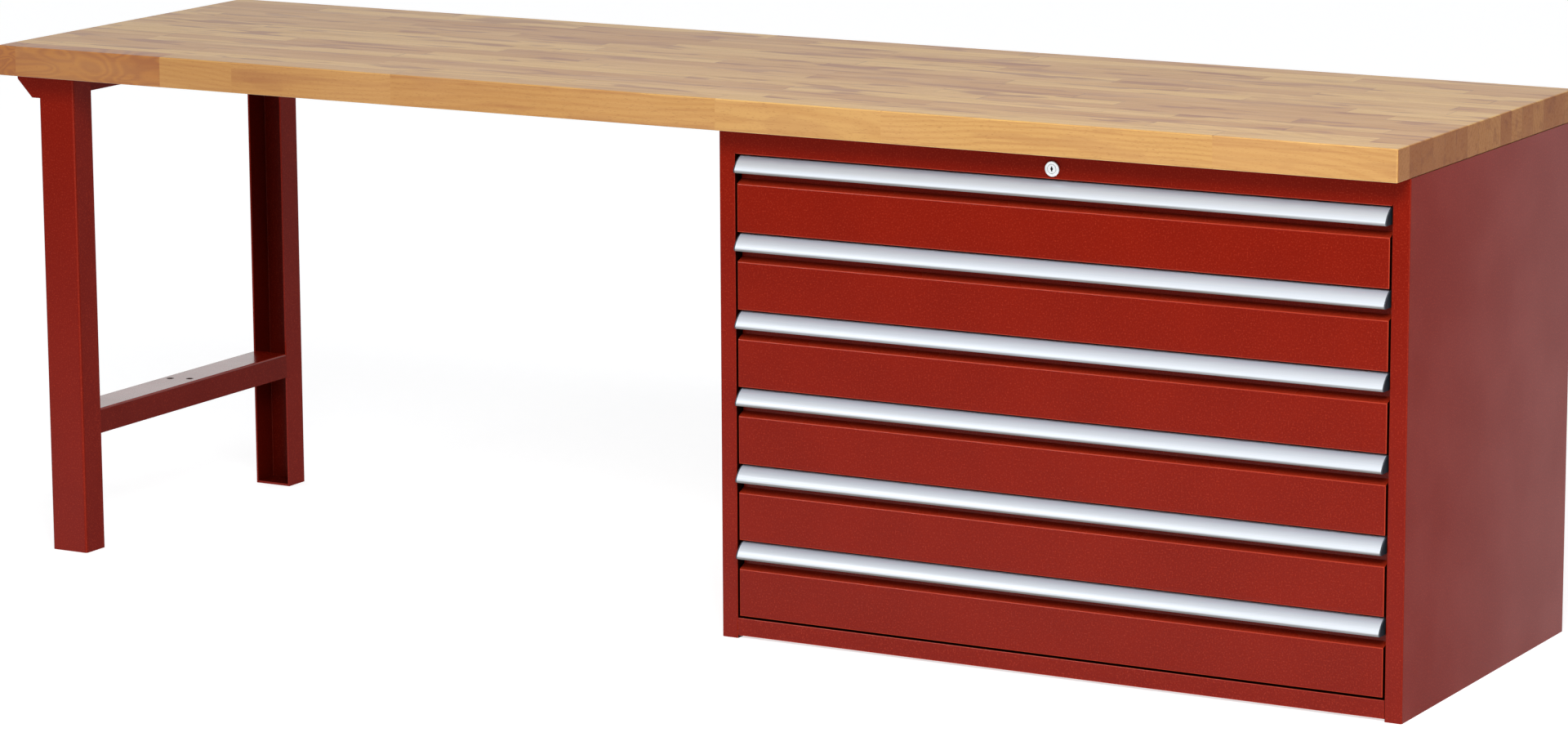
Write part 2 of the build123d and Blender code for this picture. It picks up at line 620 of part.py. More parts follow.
# The slot leaves room above the pin: a crank gains on a bar that rises evenly.
PIN_LEAD = 2.2
BAR_TOP = LOCK_HEIGHT + 12
SLOT_HEIGHT = 2 * (PIN_RADIUS + LOOSE_CLEARANCE) + PIN_LEAD
SLOT_LENGTH = CRANK_RADIUS + 2 * (PIN_RADIUS + LOOSE_CLEARANCE)
SLOT_PLATE = (SLOT_LENGTH + 12, 24)
HOOK_DEPTH = 11.5
HOOK_SHEET = 2
with BuildPart() as lock_bar:
    with BuildSketch(Plane.XZ.offset(-BAR_FRONT)):
        with Locations((CABINET_CENTRE, (BAR_BOTTOM + BAR_TOP) / 2)):
            Rectangle(2 * BAR_HALF, BAR_TOP - BAR_BOTTOM)
        with Locations((CABINET_CENTRE - CRANK_RADIUS / 2, LOCK_HEIGHT)):
            Rectangle(*SLOT_PLATE)
            with Locations((0, PIN_LEAD / 2)):
                Rectangle(SLOT_LENGTH, SLOT_HEIGHT, mode=Mode.SUBTRACT)
    extrude(amount=-BAR_THICKNESS)
    for level in range(DRAWER_COUNT):
        drawer_bottom = OPENING_BOTTOM + DRAWER_GAP + level * DRAWER_PITCH
        lug_tip = drawer_bottom + TRAY_LIFT + TRAY_HEIGHT - LUG_BELOW_RIM - LUG_SHEET / 2 - LUG_DROP
        hook_top = lug_tip - HOOK_GAP
        hook_low = hook_top - LUG_DROP - HOOK_SHEET
        with BuildSketch(Plane.YZ.offset(CABINET_CENTRE - BAR_HALF)):
            with BuildLine():
                Polyline(
                    (BAR_FRONT, hook_low),
                    (BAR_FRONT - HOOK_DEPTH, hook_low),
                    (BAR_FRONT - HOOK_DEPTH, hook_top),
                    (BAR_FRONT - HOOK_DEPTH + HOOK_SHEET, hook_top),
                    (BAR_FRONT - HOOK_DEPTH + HOOK_SHEET, hook_low + HOOK_SHEET),
                    (BAR_FRONT, hook_low + HOOK_SHEET),
                    close=True,
                )
            make_face()
        extrude(amount=2 * BAR_HALF)
lock_bar.part.label = "lock_bar"
export_step(lock_bar.part, "parts/lock_bar.step")

# Guides on the back panel hold the bar, and a bracket carries the shaft's rear end.
GUIDE_FRONT = 324.5
GUIDE_BACK = BACK_PANEL_FACE - CABINET_SHEET
BRACKET_FRONT = 300
BRACKET_THICKNESS = 3
BRACKET_BOTTOM = 772
BRACKET_WIDTH = 24
with BuildPart() as lock_guides:
    for level in (0, 2, 4):
        guide_bottom = OPENING_BOTTOM + level * DRAWER_PITCH + DRAWER_PITCH / 2 - GUIDE_BELOW_MIDDLE
        with BuildSketch(Plane.XY.offset(guide_bottom)):
            with Locations((CABINET_CENTRE, (GUIDE_FRONT + GUIDE_BACK) / 2)):
                Rectangle(2 * (BAR_HALF + GUIDE_RIM), GUIDE_BACK - GUIDE_FRONT)
            with Locations((CABINET_CENTRE, BAR_FRONT + BAR_THICKNESS / 2)):
                Rectangle(
                    2 * (BAR_HALF + LOOSE_CLEARANCE),
                    BAR_THICKNESS + 2 * LOOSE_CLEARANCE,
                    mode=Mode.SUBTRACT,
                )
        extrude(amount=GUIDE_HEIGHT)
    with BuildSketch(Plane.XZ.offset(-BRACKET_FRONT)):
        with Locations((CABINET_CENTRE, (BRACKET_BOTTOM + UNDERSIDE - BOLT_PLATE_SHEET) / 2)):
            Rectangle(BRACKET_WIDTH, UNDERSIDE - BOLT_PLATE_SHEET - BRACKET_BOTTOM)
        with Locations((CABINET_CENTRE, LOCK_HEIGHT)):
            Circle(SHAFT_RADIUS + RUNNING_CLEARANCE, mode=Mode.SUBTRACT)
    extrude(amount=-BRACKET_THICKNESS)
lock_guides.part.label = "lock_guides"
export_step(lock_guides.part, "parts/lock_guides.step")

# ================================================================ leg frame
# Each leg is a channel with a tapered ear on its outer side, under the top's end.
LEG_TOP = UNDERSIDE - PLATE_THICKNESS
for place, web_face, inward in (("front", FRAME_FRONT, 1), ("back", FRAME_BACK, -1)):
    web = web_face + inward * LEG_SHEET / 2
    mouth = web_face + inward * LEG_DEPTH
    left = LEG_LEFT + LEG_SHEET / 2
    right = LEG_RIGHT - LEG_SHEET / 2
    with BuildPart() as leg:
        with BuildSketch():
            add(folded_strip(
                [(left, mouth), (left, web), (right, web), (right, mouth)], LEG_BEND, LEG_SHEET
            ))
        extrude(amount=LEG_TOP)
        with BuildSketch(Plane.XZ.offset(-web_face)):
            with BuildLine():
                Polyline(
                    (LEFT_END + PLATE_MARGIN, LEG_TOP),
                    (LEFT_END + PLATE_MARGIN, LEG_TOP - EAR_STRAIGHT),
                    (LEG_LEFT - EAR_FOOT, LEG_TOP - EAR_HEIGHT),
                    (LEG_LEFT + EAR_ROOT, LEG_TOP - EAR_HEIGHT),
                    (LEG_LEFT + EAR_ROOT, LEG_TOP),
                    close=True,
                )
            make_face()
        extrude(amount=-inward * LEG_SHEET)
    leg.part.label = f"leg_{place}"
    export_step(leg.part, f"parts/leg_{place}.step")

LEG_GAP = BENCH_DEPTH - FRONT_OVERHANG - 2 * LEG_DEPTH
CROSSBAR_TOP = CROSSBAR_BOTTOM + CROSSBAR_HEIGHT
with BuildPart() as leg_crossbar:
    with BuildSketch(Plane.XZ.offset(-FRAME_FRONT - LEG_DEPTH)):
        add(folded_strip(
            [
                (LEG_LEFT + LEG_SHEET / 2, CROSSBAR_BOTTOM),
                (LEG_LEFT + LEG_SHEET / 2, CROSSBAR_TOP - LEG_SHEET / 2),
                (LEG_RIGHT - LEG_SHEET / 2, CROSSBAR_TOP - LEG_SHEET / 2),
                (LEG_RIGHT - LEG_SHEET / 2, CROSSBAR_BOTTOM),
            ],
            LEG_BEND,
            LEG_SHEET,
        ))
    extrude(amount=-LEG_GAP)
    with BuildSketch(Plane.XY.offset(CROSSBAR_TOP)):
        with Locations(*CROSSBAR_HOLES):
            Circle(CROSSBAR_HOLE_RADIUS)
    extrude(amount=-2 * LEG_SHEET, mode=Mode.SUBTRACT)
leg_crossbar.part.label = "leg_crossbar"
export_step(leg_crossbar.part, "parts/leg_crossbar.step")

with BuildPart() as leg_head_rail:
    with BuildSketch(Plane.XZ.offset(-FRAME_FRONT - LEG_DEPTH)):
        add(folded_strip(
            [
                (LEG_LEFT + LEG_SHEET / 2, LEG_TOP - HEAD_RAIL_HEIGHT),
                (LEG_LEFT + LEG_SHEET / 2, LEG_TOP - LEG_SHEET / 2),
                (LEG_RIGHT - LEG_SHEET / 2, LEG_TOP - LEG_SHEET / 2),
                (LEG_RIGHT - LEG_SHEET / 2, LEG_TOP - HEAD_RAIL_HEIGHT),
            ],
            LEG_BEND,
            LEG_SHEET,
        ))
    extrude(amount=-LEG_GAP)
    with BuildSketch(Plane.XY.offset(LEG_TOP)):
        with Locations(*RAIL_SCREWS):
            Circle(SCREW_HOLE_RADIUS)
    extrude(amount=-2 * LEG_SHEET, mode=Mode.SUBTRACT)
leg_head_rail.part.label = "leg_head_rail"
export_step(leg_head_rail.part, "parts/leg_head_rail.step")

with BuildPart() as leg_top_plate:
    with BuildSketch(Plane.XY.offset(LEG_TOP)):
        with Locations(((LEFT_END + PLATE_MARGIN + LEG_RIGHT) / 2, (FRAME_FRONT + FRAME_BACK) / 2)):
            Rectangle(LEG_RIGHT - LEFT_END - PLATE_MARGIN, FRAME_BACK - FRAME_FRONT)
        with Locations(*PLATE_SCREWS, *RAIL_SCREWS):
            Circle(SCREW_HOLE_RADIUS, mode=Mode.SUBTRACT)
    extrude(amount=PLATE_THICKNESS)
leg_top_plate.part.label = "leg_top_plate"
export_step(leg_top_plate.part, "parts/leg_top_plate.step")

FOOT_CENTRES = [
    ((LEG_LEFT + LEG_RIGHT) / 2, FRAME_FRONT + (LEG_DEPTH + LEG_SHEET) / 2),
    ((LEG_LEFT + LEG_RIGHT) / 2, FRAME_BACK - (LEG_DEPTH + LEG_SHEET) / 2),
]
with BuildPart() as leg_foot_plates:
    with BuildSketch():
        with Locations(*FOOT_CENTRES):
            RectangleRounded(
                LEG_RIGHT - LEG_LEFT - 2 * LEG_SHEET,
                LEG_DEPTH - LEG_SHEET,
                FOOT_PLATE_CORNER,
            )
            with GridLocations(*FOOT_HOLE_SPACING, 2, 2):
                Circle(FOOT_HOLE_RADIUS, mode=Mode.SUBTRACT)
    extrude(amount=FOOT_PLATE_THICKNESS)
leg_foot_plates.part.label = "leg_foot_plates"
export_step(leg_foot_plates.part, "parts/leg_foot_plates.step")

# ================================================================ wood screws
SCREW_ROWS = (
    (UNDERSIDE - BOLT_PLATE_SHEET, CABINET_SCREWS),
    (UNDERSIDE - PLATE_THICKNESS, PLATE_SCREWS),
    (UNDERSIDE - PLATE_THICKNESS - LEG_SHEET, RAIL_SCREWS),
)
with BuildPart() as top_screws:
    for seat, places in SCREW_ROWS:
        with BuildSketch(Plane.XY.offset(seat)):
            with Locations(*places):
                Circle(SCREW_SHANK_RADIUS)
        extrude(amount=UNDERSIDE + SCREW_DEPTH - seat)
        with BuildSketch(Plane.XY.offset(seat)):
            with Locations(*places):
                Circle(WASHER_RADIUS)
        extrude(amount=-WASHER_THICKNESS)
        with BuildSketch(Plane.XY.offset(seat - WASHER_THICKNESS)):
            with Locations(*places):
                RegularPolygon(SCREW_HEAD_FLATS / 2, 6, major_radius=False)
        extrude(amount=-SCREW_HEAD_HEIGHT)
top_screws.part.label = "top_screws"
export_step(top_screws.part, "parts/top_screws.step")
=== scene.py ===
import math

import bpy
from mathutils import Matrix, Vector

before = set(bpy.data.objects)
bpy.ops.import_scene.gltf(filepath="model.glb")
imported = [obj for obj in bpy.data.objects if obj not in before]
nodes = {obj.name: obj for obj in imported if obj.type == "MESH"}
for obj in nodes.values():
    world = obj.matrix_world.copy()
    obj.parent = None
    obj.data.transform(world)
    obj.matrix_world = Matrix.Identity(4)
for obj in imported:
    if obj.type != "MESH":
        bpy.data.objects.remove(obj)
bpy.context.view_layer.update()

# ---------------------------------------------------------------- places on the bench, in metres

BOARD_DEPTH = 0.7
BOARD_MIDDLE = 0.835
STAVE_STRIPS = 16

CABINET_MIDDLE = 0.675
BOTTOM_SEAM = 0.0345
LOCK_HEIGHT = 0.784
CYLINDER_SEAM = 0.00703

LEG_MIDDLE = -1.170
LEG_PAIR_MIDDLE = 0.025
CROSSBAR_HOLES = ((-1.186, 0.021, 0.0), (-1.155, 0.035, 0.0))

# A ramp is where a finish starts and ends changing, a fraction of a millimetre past an edge of
# the shape. These four are distances from the cabinet's middle.
FRONT_SIDE = (0.5440, 0.5442)
FRONT_TO_STILE = (0.5445, 0.5455)
STILE_SIDE = (0.5462, 0.5466)
STILE_FACE = (0.560, 0.564)

BLACK = (0.0, 0.0, 0.0)

# ---------------------------------------------------------------- materials


class Finish:
    """A procedural material: the Principled shader and short calls for the nodes that feed it."""

    def __init__(self, name, **constants):
        self.material = bpy.data.materials.new(name)
        self.material.use_nodes = True
        self.tree = self.material.node_tree
        self.shader = self.tree.nodes["Principled BSDF"]
        for socket, value in constants.items():
            self.shader.inputs[socket.replace("_", " ")].default_value = value
        self.place = self.node("ShaderNodeTexCoord").outputs["Object"]

    def node(self, kind, inputs=None, **settings):
        made = self.tree.nodes.new(kind)
        for key, value in settings.items():
            setattr(made, key, value)
        for key, value in (inputs or {}).items():
            self.put(made.inputs[key], value)
        return made

    def put(self, socket, value):
        if isinstance(value, bpy.types.NodeSocket):
            self.tree.links.new(value, socket)
        else:
            socket.default_value = value

    def math(self, operation, first, second=0.0, third=0.0):
        inputs = {0: first, 1: second, 2: third}
        return self.node("ShaderNodeMath", inputs, operation=operation).outputs[0]

    def product(self, first, *others):
        for other in others:
            first = self.math("MULTIPLY", first, other)
        return first

    def largest(self, first, *others):
        for other in others:
            first = self.math("MAXIMUM", first, other)
        return first

    def distance(self, value, place):
        return self.math("ABSOLUTE", self.math("SUBTRACT", value, place))

    def radius(self, first, second):
        squares = self.math("ADD", self.product(first, first), self.product(second, second))
        return self.math("SQRT", squares)

    def wave(self, phase):
        """A sine brought between 0 and 1."""
        return self.math("MULTIPLY_ADD", self.math("SINE", phase), 0.5, 0.5)

    def vector(self, operation, first, second):
        inputs = {0: first, 1: second}
        return self.node("ShaderNodeVectorMath", inputs, operation=operation).outputs[0]

    def split(self, vector):
        parts = self.node("ShaderNodeSeparateXYZ", {0: vector}).outputs
        return parts[0], parts[1], parts[2]

    def join(self, x, y, z):
        return self.node("ShaderNodeCombineXYZ", {0: x, 1: y, 2: z}).outputs[0]

    def normal(self):
        return self.split(self.node("ShaderNodeNewGeometry").outputs["Normal"])

    def chance(self, dimensions, **inputs):
        """White noise: the same value for the same place on every run."""
        return self.node("ShaderNodeTexWhiteNoise", inputs, noise_dimensions=dimensions).outputs

    def noise(self, stretch, detail=2.0, roughness=0.5, distortion=0.0, at=None):
        """Noise between about 0.2 and 0.8, with stretch features per metre along each axis."""
        place = self.vector("MULTIPLY", at or self.place, stretch)
        inputs = {
            "Vector": place,
            "Scale": 1.0,
            "Detail": detail,
            "Roughness": roughness,
            "Distortion": distortion,
        }
        return self.node("ShaderNodeTexNoise", inputs).outputs["Fac"]

    def remap(self, value, low, high, to_low=0.0, to_high=1.0, smooth=True):
        inputs = {
            "Value": value,
            "From Min": low,
            "From Max": high,
            "To Min": to_low,
            "To Max": to_high,
        }
        shape = "SMOOTHSTEP" if smooth else "LINEAR"
        made = self.node("ShaderNodeMapRange", inputs, interpolation_type=shape)
        return made.outputs["Result"]

    def within(self, value, low, high):
        """1 below low, 0 above high."""
        return self.remap(value, low, high, 1.0, 0.0)

    def mix(self, factor, first, second, blend="MIX"):
        made = self.node("ShaderNodeMix", data_type="RGBA", blend_type=blend)
        self.put(made.inputs["Factor"], factor)
        self.put(made.inputs["A"], self.colour(first))
        self.put(made.inputs["B"], self.colour(second))
        return made.outputs["Result"]

    @staticmethod
    def colour(value):
        if isinstance(value, tuple) and len(value) == 3:
            return (*value, 1.0)
        return value

    def bump(self, height, distance, strength=1.0):
        inputs = {"Height": height, "Distance": distance, "Strength": strength}
        if self.shader.inputs["Normal"].links:
            inputs["Normal"] = self.shader.inputs["Normal"].links[0].from_socket
        bumped = self.node("ShaderNodeBump", inputs).outputs["Normal"]
        self.put(self.shader.inputs["Normal"], bumped)

    def set(self, socket, value):
        self.put(self.shader.inputs[socket], self.colour(value))


def beech():
    """A board of solid beech staves laid along X, glued side by side and butted end to end."""
    made = Finish("beech_wood", Specular_IOR_Level=0.06, Coat_Roughness=0.38)
    x, y, z = made.split(made.place)
    stave_width = BOARD_DEPTH / STAVE_STRIPS
    across = made.math("DIVIDE", made.math("ADD", y, BOARD_DEPTH / 2), stave_width)
    strip = made.math("FLOOR", across)
    shift, stretch, _ = made.split(made.chance("1D", W=strip)["Color"])
    sway = made.math("MULTIPLY_ADD", x, 6.1, made.product(shift, 40.0))
    length = made.math("MULTIPLY_ADD", stretch, 0.16, 0.40)
    along = made.math("MULTIPLY_ADD", made.math("SINE", sway), 0.09, x)
    along = made.math("DIVIDE", along, length)
    along = made.math("ADD", along, made.product(shift, 17.0))
    stave = made.math("FLOOR", along)
    seed = made.chance("3D", Vector=made.join(strip, stave, 3.0))
    first, second, third = made.split(seed["Color"])
    tone = seed["Value"]
    strip_part = made.math("SUBTRACT", made.math("FRACT", across), 0.5)
    stave_part = made.math("SUBTRACT", made.math("FRACT", along), 0.5)

    # Each stave's grain starts from a place of its own.
    offset = made.vector("MULTIPLY", seed["Color"], (31.0, 17.0, 23.0))
    local = made.vector("ADD", made.place, offset)

    # Growth rings: distance from a pith line that leans a little against the stave.
    pith_y = made.math("MULTIPLY_ADD", first, 0.30, -0.15)
    pith_z = made.math("MULTIPLY_ADD", second, 0.26, -0.20)
    lean = made.product(made.math("SUBTRACT", third, 0.5), 0.22)
    pith_z = made.math("MULTIPLY_ADD", made.product(stave_part, length), lean, pith_z)
    away_y = made.math("SUBTRACT", made.product(strip_part, stave_width), pith_y)
    away_z = made.math("SUBTRACT", made.math("SUBTRACT", z, BOARD_MIDDLE), pith_z)
    drift = made.noise((2.6, 15.0, 15.0), at=local)
    rings = made.math("MULTIPLY_ADD", made.radius(away_y, away_z), 125.0, made.product(drift, 4.5))
    ring = made.math("POWER", made.wave(made.product(rings, 2 * math.pi)), 1.6)

    fibre = made.noise((5.0, 260.0, 260.0), detail=4.0, roughness=0.6, at=local)
    streak = made.noise((2.2, 42.0, 42.0), detail=3.0, roughness=0.55, at=local)
    heart = made.noise((6.0, 31.0, 31.0), detail=2.5, distortion=0.25, at=local)
    cloud = made.noise((3.0, 9.0, 9.0), at=local)
    fleck = made.noise((130.0, 900.0, 900.0), detail=1.0, at=local)

    # The stave at the front left corner is a dark one with a curly figure.
    front_strip = made.within(strip, 0.4, 0.6)
    corner = made.product(front_strip, made.within(x, -0.922, -0.920))
    folds = made.noise((9.0, 9.0, 24.0), detail=1.0, distortion=0.8, at=local)
    curl = made.wave(made.product(folds, 52.0))

    # The front strip is paler than the rest, and painted darker towards its left end as shade,
    # where less light reaches it.
    normal = made.normal()
    end = made.remap(made.math("ABSOLUTE", normal[0]), 0.6, 0.95)
    ripeness_and_shade = made.remap(tone, 0.05, 0.95, 0.0, 0.85)
    ripeness_and_shade = made.product(ripeness_and_shade, made.remap(strip, 0.4, 0.6, 0.20, 1.0))
    shade_left = made.product(front_strip, made.remap(x, -0.9, 0.6, 0.46, 0.0))
    ripeness_and_shade = made.math("ADD", ripeness_and_shade, shade_left)

    # Red-brown heartwood shows in patches on the top, less on the front edge and the ends.
    plain = made.math("MULTIPLY_ADD", made.largest(front_strip, end), -0.7, 1.0)
    patch = made.product(made.remap(heart, 0.56, 0.63, 0.0, 0.74), plain)

    pale, deep, red_brown = (0.645, 0.388, 0.127), (0.44, 0.198, 0.058), (0.285, 0.098, 0.043)
    tint = made.mix(made.largest(ripeness_and_shade, corner), pale, deep)
    tint = made.mix(made.product(corner, 0.7), tint, (0.45, 0.165, 0.042))
    tint = made.mix(made.remap(ring, 0.1, 0.9, 0.0, 0.30), tint, deep)
    tint = made.mix(made.product(curl, corner, 0.70), tint, red_brown)
    tint = made.mix(made.remap(streak, 0.54, 0.68, 0.0, 0.42), tint, red_brown)
    tint = made.mix(patch, tint, red_brown)
    tint = made.mix(made.remap(cloud, 0.40, 0.7, 0.0, 0.30), tint, (0.68, 0.41, 0.16))
    tint = made.mix(made.remap(fibre, 0.45, 0.75, 0.0, 0.25), tint, red_brown)
    tint = made.mix(made.remap(fleck, 0.62, 0.70, 0.0, 0.35), tint, (0.26, 0.11, 0.045))

    # Glue lines between strips and at the butt joints.
    glue_y = made.remap(made.math("ABSOLUTE", strip_part), 0.486, 0.497)
    glue_x = made.remap(made.math("ABSOLUTE", stave_part), 0.4975, 0.4992)
    glue = made.largest(glue_y, glue_x)
    tint = made.mix(made.product(glue, 0.45), tint, (0.20, 0.085, 0.038))

    # End grain drinks more oil, so it is browner. The underside is greyer, and only the top
    # keeps a film of oil.
    pores = made.noise((1500.0, 1500.0, 1500.0))
    soaked = made.mix(1.0, tint, (0.52, 0.38, 0.36), blend="MULTIPLY")
    end_tint = made.mix(made.remap(pores, 0.45, 0.65, 0.0, 0.3), soaked, (0.17, 0.068, 0.025))
    tint = made.mix(end, tint, end_tint)
    tint = made.mix(made.within(normal[2], -0.95, -0.7), tint, (0.26, 0.225, 0.185))
    made.set("Base Color", tint)
    made.set("Coat Weight", made.remap(normal[2], 0.6, 0.95, 0.0, 0.52))
    made.set("Roughness", made.remap(fibre, 0.3, 0.8, 0.36, 0.50))
    made.bump(made.math("MULTIPLY_ADD", fibre, 0.6, made.product(glue, -0.7)), 0.00012, 0.6)
    return made.material


def painted_shade(made, across, sides):
    """How dark the coat is where light hardly gets in: 0 is the plain coat, 1 is black.

    across is the distance from the cabinet's middle, sides the size of each part of the normal.
    It belongs to the piece, so it goes with a drawer that is pulled out.
    """
    x, y, z = made.split(made.place)
    facing_x = made.remap(sides[0], 0.7, 0.9)

    # The gaps beside the drawer fronts, the recess under each grip and the seam at the bottom.
    beside = made.product(facing_x, made.remap(y, -0.2998, -0.2990, 0.0, 0.93))
    recess = made.remap(y, -0.2985, -0.2860, 0.0, 0.18)
    recess = made.product(recess, made.within(z, 0.760, 0.762), made.within(across, *FRONT_SIDE))
    under = made.remap(made.distance(z, BOTTOM_SEAM), 0.0018, 0.0025, 0.93, 0.0)
    under = made.product(under, made.within(across, *STILE_SIDE))
    gap = made.largest(beside, under, recess)
    near_front = made.within(y, -0.278, -0.272)
    gap = made.product(gap, near_front, made.within(across, *STILE_FACE))

    # The inside of the leg channels and the sides of the legs that face along the bench.
    off_leg = made.distance(x, LEG_MIDDLE)
    off_pair = made.distance(y, LEG_PAIR_MIDDLE)
    inside = made.within(off_leg, 0.0322, 0.0330)
    inside = made.product(inside, made.within(off_pair, 0.3222, 0.3230))
    inside = made.product(inside, made.remap(off_pair, 0.2755, 0.2765), 0.60)
    leg_sides = made.product(facing_x, made.within(x, -1.10, -1.05))
    leg_sides = made.product(leg_sides, made.remap(off_pair, 0.2745, 0.2755, 0.40, 0.20))
    shade = made.largest(gap, inside, leg_sides)

    # A dark rim round each hole in the crossbar, wider than the hole itself.
    for hole in CROSSBAR_HOLES:
        inputs = {0: made.join(x, y, 0.0), 1: hole}
        away = made.node("ShaderNodeVectorMath", inputs, operation="DISTANCE").outputs["Value"]
        shade = made.largest(shade, made.remap(away, 0.0064, 0.0070, 0.84, 0.0))
    return shade


def powder_coat(name, base, deep, speck_and_highlight, roughness, specular, shaded):
    """A baked powder coat: fine orange peel, a faint mottle, and a painted highlight on the bends.
    """
    made = Finish(name, Specular_IOR_Level=specular, Coat_Roughness=0.17)
    mottle = made.noise((7.0, 7.0, 7.0), detail=3.0)
    speck = made.noise((420.0, 420.0, 420.0), detail=1.0)
    tint = made.mix(made.remap(mottle, 0.3, 0.7), base, deep)
    tint = made.mix(made.remap(speck, 0.52, 0.75, 0.0, 0.18), tint, speck_and_highlight)
    normal = made.normal()
    sides = [made.math("ABSOLUTE", part) for part in normal]
    squareness = made.largest(*sides)
    x, y, z = made.split(made.place)

    # Painted highlight: the bends are painted in the lighter colour, most of all between the sides
    # of the drawer fronts.
    bend_highlight = made.within(squareness, 0.80, 0.985)
    across = made.distance(x, CABINET_MIDDLE)
    highlight_share = made.remap(across, *FRONT_TO_STILE, 0.50, 0.10)
    tint = made.mix(made.product(bend_highlight, highlight_share), tint, speck_and_highlight)

    shade = painted_shade(made, across, sides) if shaded else 0.0
    made.set("Base Color", made.mix(shade, tint, BLACK))

    # The film flows out smoother on bends, on faces that lie flat, low down and on the open
    # end wall, but not where it is dark.
    flat = made.remap(normal[2], 0.92, 0.99)
    end_wall = made.remap(y, -0.30, 0.35, 0.02, 0.22)
    end_wall = made.product(made.remap(x, 1.2485, 1.2495), end_wall)
    low_down = made.remap(z, 0.08, 0.70, 0.22, 0.0, smooth=False)
    low_down = made.product(made.remap(sides[1], 0.95, 0.99), low_down)
    round_over = made.within(squareness, 0.90, 0.99)
    bright_bend = made.product(round_over, made.remap(normal[2], 0.1, 0.4, 0.08, 1.0))
    smooth = made.largest(bright_bend, flat, end_wall, low_down)
    smooth = made.product(smooth, made.within(shade, 0.4, 0.9))
    made.set("Coat Weight", smooth)
    rough = made.remap(mottle, 0.3, 0.7, roughness - 0.03, roughness + 0.04)
    made.set("Roughness", made.math("MULTIPLY_ADD", smooth, -0.15, rough))
    made.bump(made.noise((650.0, 650.0, 650.0)), 0.00010, 0.35)
    made.bump(made.noise((60.0, 60.0, 60.0), detail=1.0), 0.0006, 0.05)
    return made.material


def anodised():
    """Drawn aluminium, satin anodised: fine die lines along its length, a painted reflection on
    the upward faces and painted shade underneath.
    """
    made = Finish("anodised_grip", Metallic=0.42, Specular_IOR_Level=0.5)
    lines = made.noise((1.5, 900.0, 900.0), detail=3.0)
    broad = made.noise((0.6, 60.0, 60.0))
    up = made.normal()[2]
    # Painted reflection: faces turning up are painted a darker blue-grey, like the dim sky they
    # face. Painted shade: faces turning down are painted near black.
    tint = made.mix(made.remap(up, 0.64, 0.93), (0.63, 0.665, 0.705), (0.45, 0.515, 0.61))
    tint = made.mix(made.within(up, -0.30, 0.30), tint, (0.15, 0.135, 0.12))
    tint = made.mix(made.remap(lines, 0.35, 0.7, 0.0, 0.3), tint, (0.47, 0.54, 0.63))
    tint = made.mix(made.remap(broad, 0.4, 0.7, 0.0, 0.15), tint, (0.66, 0.72, 0.79))
    made.set("Base Color", tint)
    made.set("Roughness", made.remap(lines, 0.3, 0.75, 0.28, 0.38))
    made.bump(lines, 0.00005, 0.4)
    return made.material


def moulded_plastic():
    """Dark moulded plastic with a fine spark-eroded grain."""
    made = Finish("dark_plastic", Specular_IOR_Level=0.45)
    grain = made.noise((1400.0, 1400.0, 1400.0))
    flow = made.remap(made.noise((40.0, 40.0, 40.0)), 0.3, 0.7)
    made.set("Base Color", made.mix(flow, (0.016, 0.022, 0.030), (0.030, 0.038, 0.050)))
    made.set("Roughness", made.remap(grain, 0.3, 0.7, 0.42, 0.55))
    made.bump(grain, 0.00006, 0.5)
    return made.material


def zinc():
    """Galvanised sheet: crystals of slightly different grey, and rolling lines."""
    made = Finish("galvanised_steel", Metallic=0.9)
    crystals = made.node("ShaderNodeTexVoronoi", {"Vector": made.place, "Scale": 260.0})
    spangle = made.split(crystals.outputs["Color"])[0]
    rolled = made.noise((300.0, 4.0, 300.0))
    tint = made.mix(spangle, (0.50, 0.52, 0.54), (0.66, 0.67, 0.68))
    tint = made.mix(made.remap(rolled, 0.4, 0.7, 0.0, 0.4), tint, (0.42, 0.43, 0.45))
    made.set("Base Color", tint)
    made.set("Roughness", made.remap(spangle, 0.0, 1.0, 0.28, 0.42))
    made.bump(rolled, 0.00004, 0.3)
    return made.material


def nickel():
    """Nickel-plated brass, polished, with faint turning rings."""
    made = Finish("polished_lock", Metallic=1.0)
    from_axis = made.vector("SUBTRACT", made.place, (CABINET_MIDDLE, 0.0, LOCK_HEIGHT))
    dx, _, dz = made.split(from_axis)
    radius = made.radius(dx, dz)
    turned = made.math("SINE", made.product(radius, 14000.0))
    stain = made.noise((180.0, 180.0, 180.0), detail=3.0)
    plated = made.mix(made.remap(stain, 0.35, 0.7), (0.80, 0.82, 0.83), (0.68, 0.71, 0.73))

    # Painted shade: the key slot, the seam round the cylinder and a spot on its axis are painted
    # dark. The spot has no recess behind it.
    slot_x = made.within(made.math("ABSOLUTE", dx), 0.0009, 0.0012)
    slot_z = made.within(made.math("ABSOLUTE", dz), 0.0036, 0.0040)
    seam = made.within(made.distance(radius, CYLINDER_SEAM), 0.00015, 0.0003)
    spot = made.within(radius, 0.0019, 0.0023)
    lock_shade = made.largest(made.product(slot_x, slot_z), seam, spot)
    made.set("Base Color", made.mix(lock_shade, plated, (0.012, 0.013, 0.014)))
    polish = made.remap(stain, 0.3, 0.7, 0.20, 0.32)
    made.set("Roughness", made.math("MULTIPLY_ADD", lock_shade, 0.4, polish))
    made.bump(turned, 0.00001, 0.3)
    return made.material


